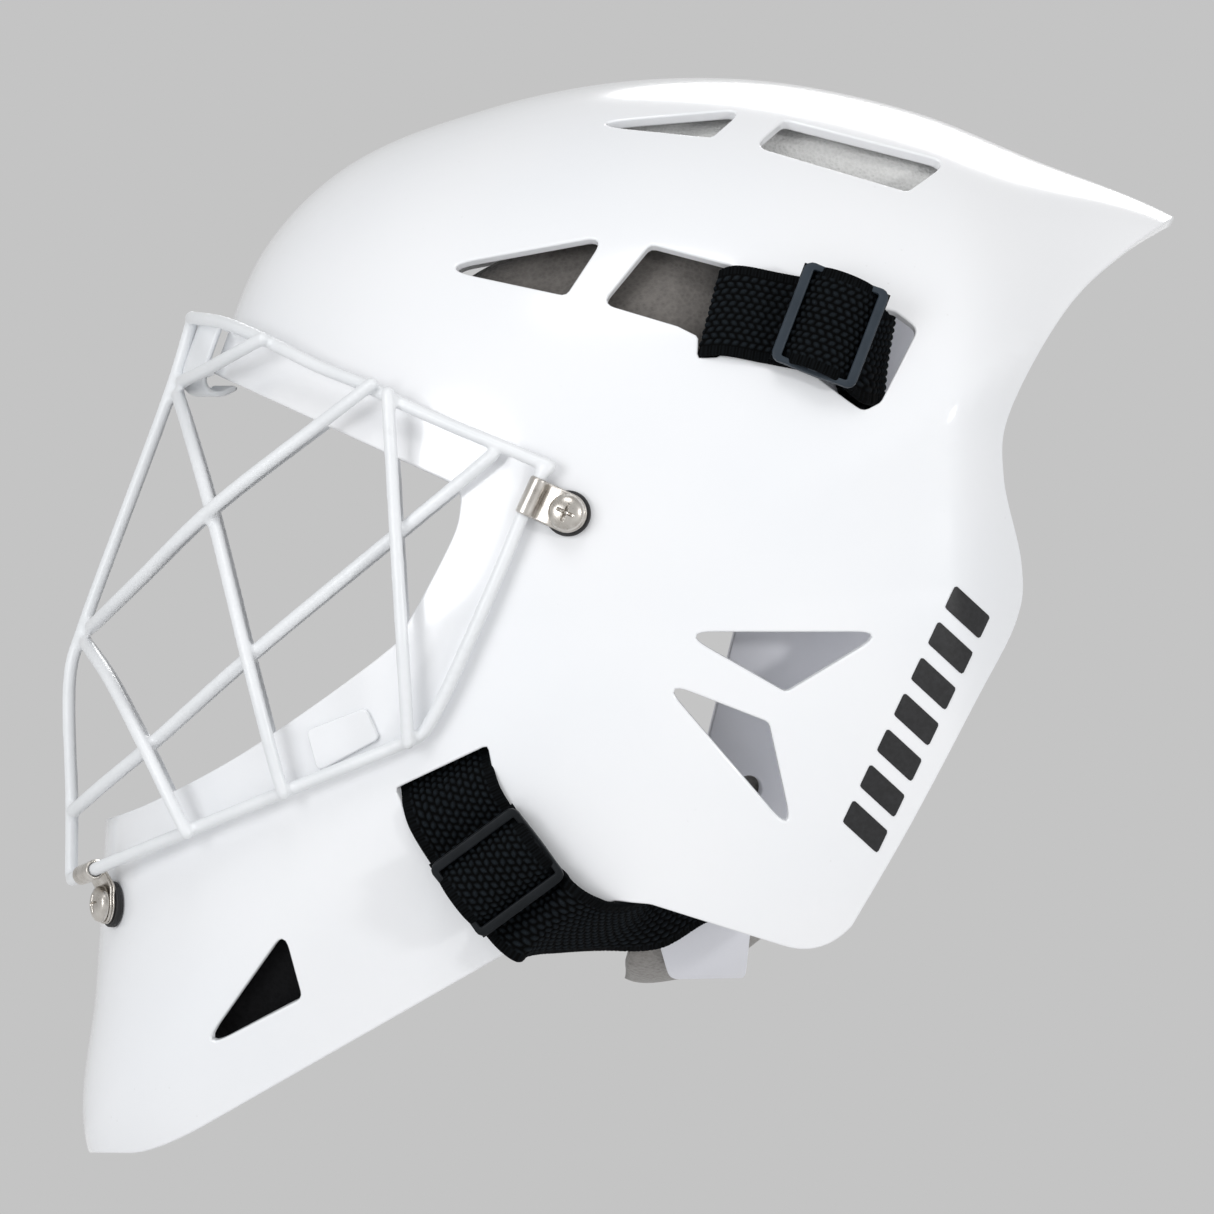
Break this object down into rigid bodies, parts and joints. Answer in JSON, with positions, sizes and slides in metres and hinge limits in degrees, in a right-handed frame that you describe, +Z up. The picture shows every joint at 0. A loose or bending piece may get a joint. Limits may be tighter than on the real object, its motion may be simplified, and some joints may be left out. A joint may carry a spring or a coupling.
{
  "type": "goalie mask",
  "caption": "White moulded goalie mask with a long rear tail, a welded wire cage on P-clips and a padded back plate on elastic straps.",
  "frame": {"origin": "centre of the bounding box in X and Y, at the height of the lowest point of the chin", "axes": "+Z up, -X the way the wearer looks, -Y the wearer's left"},
  "size_m": [0.322, 0.235, 0.3117],
  "materials": {
    "shell": "moulded gloss white",
    "cage": "white powder coat on steel wire",
    "steel": "stainless, lightly polished",
    "rubber": "matte black",
    "webbing": "black knitted elastic",
    "slide": "satin moulded nylon",
    "dark_foam": "closed-cell foam with a fabric face",
    "felt": "pale felt-like lining",
    "grey_foam": "grey foam",
    "plate": "moulded white plastic"
  },
  "bodies": {
    "shell_body": {"shell": "shell", "cage_top_wire": "cage", "cage_lower_wire": "cage", "cage_brow_bar_left": "cage", "cage_brow_bar_right": "cage", "cage_inner_bar_left": "cage", "cage_inner_bar_right": "cage", "cage_upper_cross_bar_left": "cage", "cage_upper_cross_bar_right": "cage", "cage_lower_cross_bar_left": "cage", "cage_lower_cross_bar_right": "cage", "cage_side_bar_left": "cage", "cage_side_bar_right": "cage", "cage_jaw_bar_left": "cage", "cage_jaw_bar_right": "cage", "brow_bracket": "cage", "temple_clip_left": "steel", "temple_clip_right": "steel", "temple_screw_left": "steel", "temple_screw_right": "steel", "temple_nut_left": "steel", "temple_nut_right": "steel", "chin_clip_left": "steel", "chin_clip_right": "steel", "chin_screw_left": "steel", "chin_screw_right": "steel", "chin_nut_left": "steel", "chin_nut_right": "steel", "temple_washer_left": "rubber", "temple_washer_right": "rubber", "chin_washer_left": "rubber", "chin_washer_right": "rubber", "upper_strap_left": "webbing", "upper_strap_right": "webbing", "lower_strap_left": "webbing", "lower_strap_right": "webbing", "brow_pad": "dark_foam", "temple_pad_left": "dark_foam", "temple_pad_right": "dark_foam", "cheek_pad_left": "dark_foam", "cheek_pad_right": "dark_foam", "chin_pad_left": "dark_foam", "chin_pad_right": "dark_foam", "crown_pad": "felt"},
    "back_plate_body": {"back_plate": "plate", "back_plate_pad": "grey_foam", "neck_pad_left": "grey_foam", "neck_pad_right": "grey_foam", "upper_rivet_left": "steel", "upper_rivet_right": "steel", "lower_rivet_left": "steel", "lower_rivet_right": "steel"},
    "upper_slide_body_left": {"upper_slide_left": "slide", "upper_strap_loop_left": "webbing"},
    "upper_slide_body_right": {"upper_slide_right": "slide", "upper_strap_loop_right": "webbing"},
    "lower_slide_body_left": {"lower_slide_left": "slide", "lower_strap_loop_left": "webbing"},
    "lower_slide_body_right": {"lower_slide_right": "slide", "lower_strap_loop_right": "webbing"}
  },
  "joints": [
    {"name": "back_plate_slide", "type": "slide", "parent": "shell_body", "child": "back_plate_body", "axis": [1, 0, 0], "range_m": [0, 0.022], "stiffness_N_per_m": 350, "deforming": ["upper_strap_left", "upper_strap_right", "lower_strap_left", "lower_strap_right"]},
    {"name": "upper_slide_travel_left", "type": "slide", "parent": "shell_body", "child": "upper_slide_body_left", "axis": [0.9336, 0.0015, -0.3582], "range_m": [-0.01, 0.003]},
    {"name": "upper_slide_travel_right", "type": "slide", "parent": "shell_body", "child": "upper_slide_body_right", "axis": [0.9336, -0.0015, -0.3582], "range_m": [-0.01, 0.003]},
    {"name": "lower_slide_travel_left", "type": "slide", "parent": "shell_body", "child": "lower_slide_body_left", "axis": [0.5999, 0.061, -0.7977], "range_m": [-0.012, 0.003]},
    {"name": "lower_slide_travel_right", "type": "slide", "parent": "shell_body", "child": "lower_slide_body_right", "axis": [0.5999, -0.061, -0.7977], "range_m": [-0.012, 0.003]}
  ]
}
